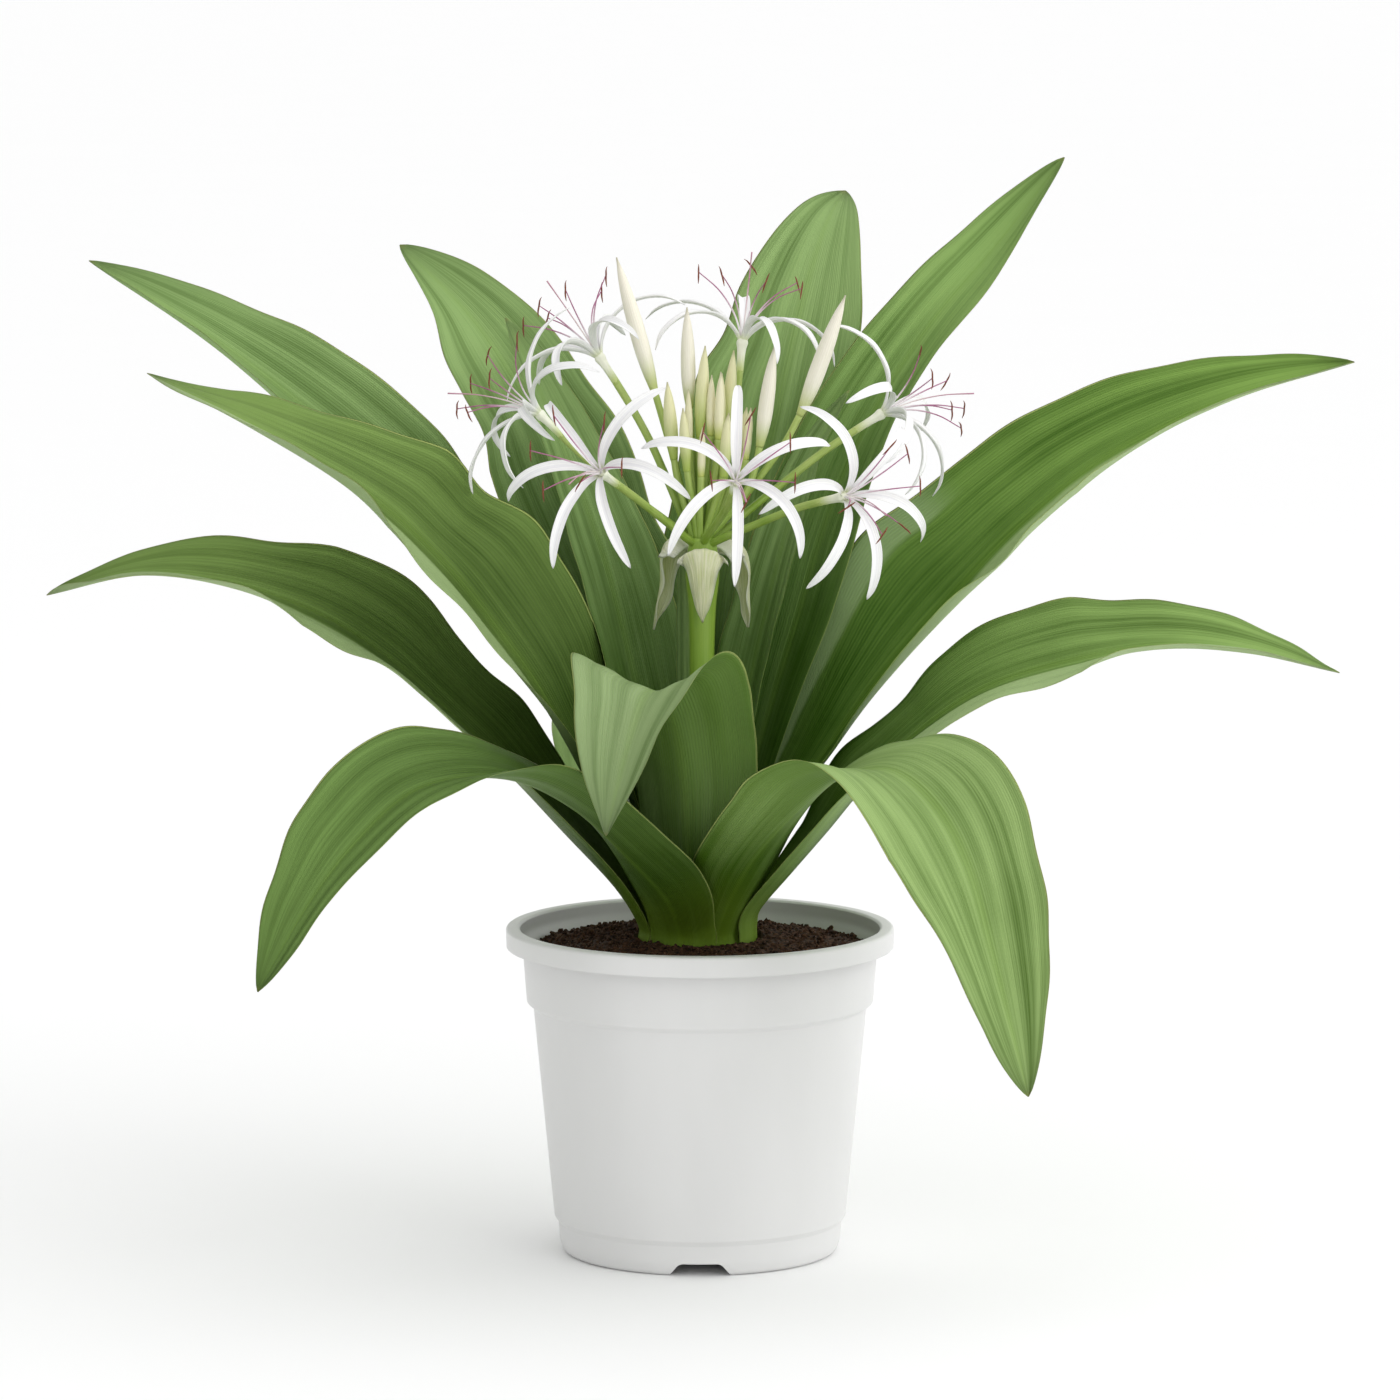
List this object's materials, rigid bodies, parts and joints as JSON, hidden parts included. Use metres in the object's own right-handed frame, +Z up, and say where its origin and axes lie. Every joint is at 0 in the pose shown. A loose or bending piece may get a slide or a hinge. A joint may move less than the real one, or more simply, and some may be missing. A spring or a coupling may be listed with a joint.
{
  "type": "potted crinum lily",
  "caption": "Potted crinum lily: arching strap leaves around a flowering stalk with an umbel of spidery blooms and buds, in a round plastic nursery pot.",
  "frame": {"origin": "on the floor under the middle of the whole plant, which is the axis of the pot to within a few millimetres", "axes": "+Z up, +X along the widest spread of the leaves, to the right in the picture, -Y toward the viewer"},
  "size_m": [1.0066, 0.6034, 0.8368],
  "materials": {
    "pot_plastic": "satin white",
    "potting_soil": "dark crumbly potting compost",
    "bulb_skin": "dry papery skin",
    "leaf_green": "semi-gloss green leaf",
    "scape_green": "smooth pale green stalk",
    "bract_skin": "papery cream and green",
    "petal_white": "soft white petal",
    "bud_cream": "creamy closed bud"
  },
  "bodies": {
    "root": {"bloom_back_left": "petal_white", "bloom_far_left": "petal_white", "bloom_far_right": "petal_white", "bloom_front": "petal_white", "bloom_left": "petal_white", "bloom_right": "petal_white", "bloom_top": "petal_white", "bract_front": "bract_skin", "bract_left": "bract_skin", "bract_right": "bract_skin", "bud_back_right": "bud_cream", "bud_centre": "bud_cream", "bud_inner": "bud_cream", "bud_left": "bud_cream", "bud_right": "bud_cream", "bud_small_front": "bud_cream", "bud_small_inner": "bud_cream", "bud_small_right": "bud_cream", "bud_tall_centre": "bud_cream", "bud_tall_left": "bud_cream", "bud_tall_right": "bud_cream", "bulb": "bulb_skin", "leaf_back": "leaf_green", "leaf_back_centre": "leaf_green", "leaf_back_left": "leaf_green", "leaf_back_right": "leaf_green", "leaf_front_folded": "leaf_green", "leaf_front_left": "leaf_green", "leaf_front_right": "leaf_green", "leaf_inner_back": "leaf_green", "leaf_inner_left": "leaf_green", "leaf_inner_right": "leaf_green", "leaf_left": "leaf_green", "leaf_left_high": "leaf_green", "leaf_left_low": "leaf_green", "leaf_right": "leaf_green", "leaf_right_high": "leaf_green", "leaf_right_low": "leaf_green", "pot": "pot_plastic", "scape": "scape_green", "soil": "potting_soil"}
  },
  "joints": []
}
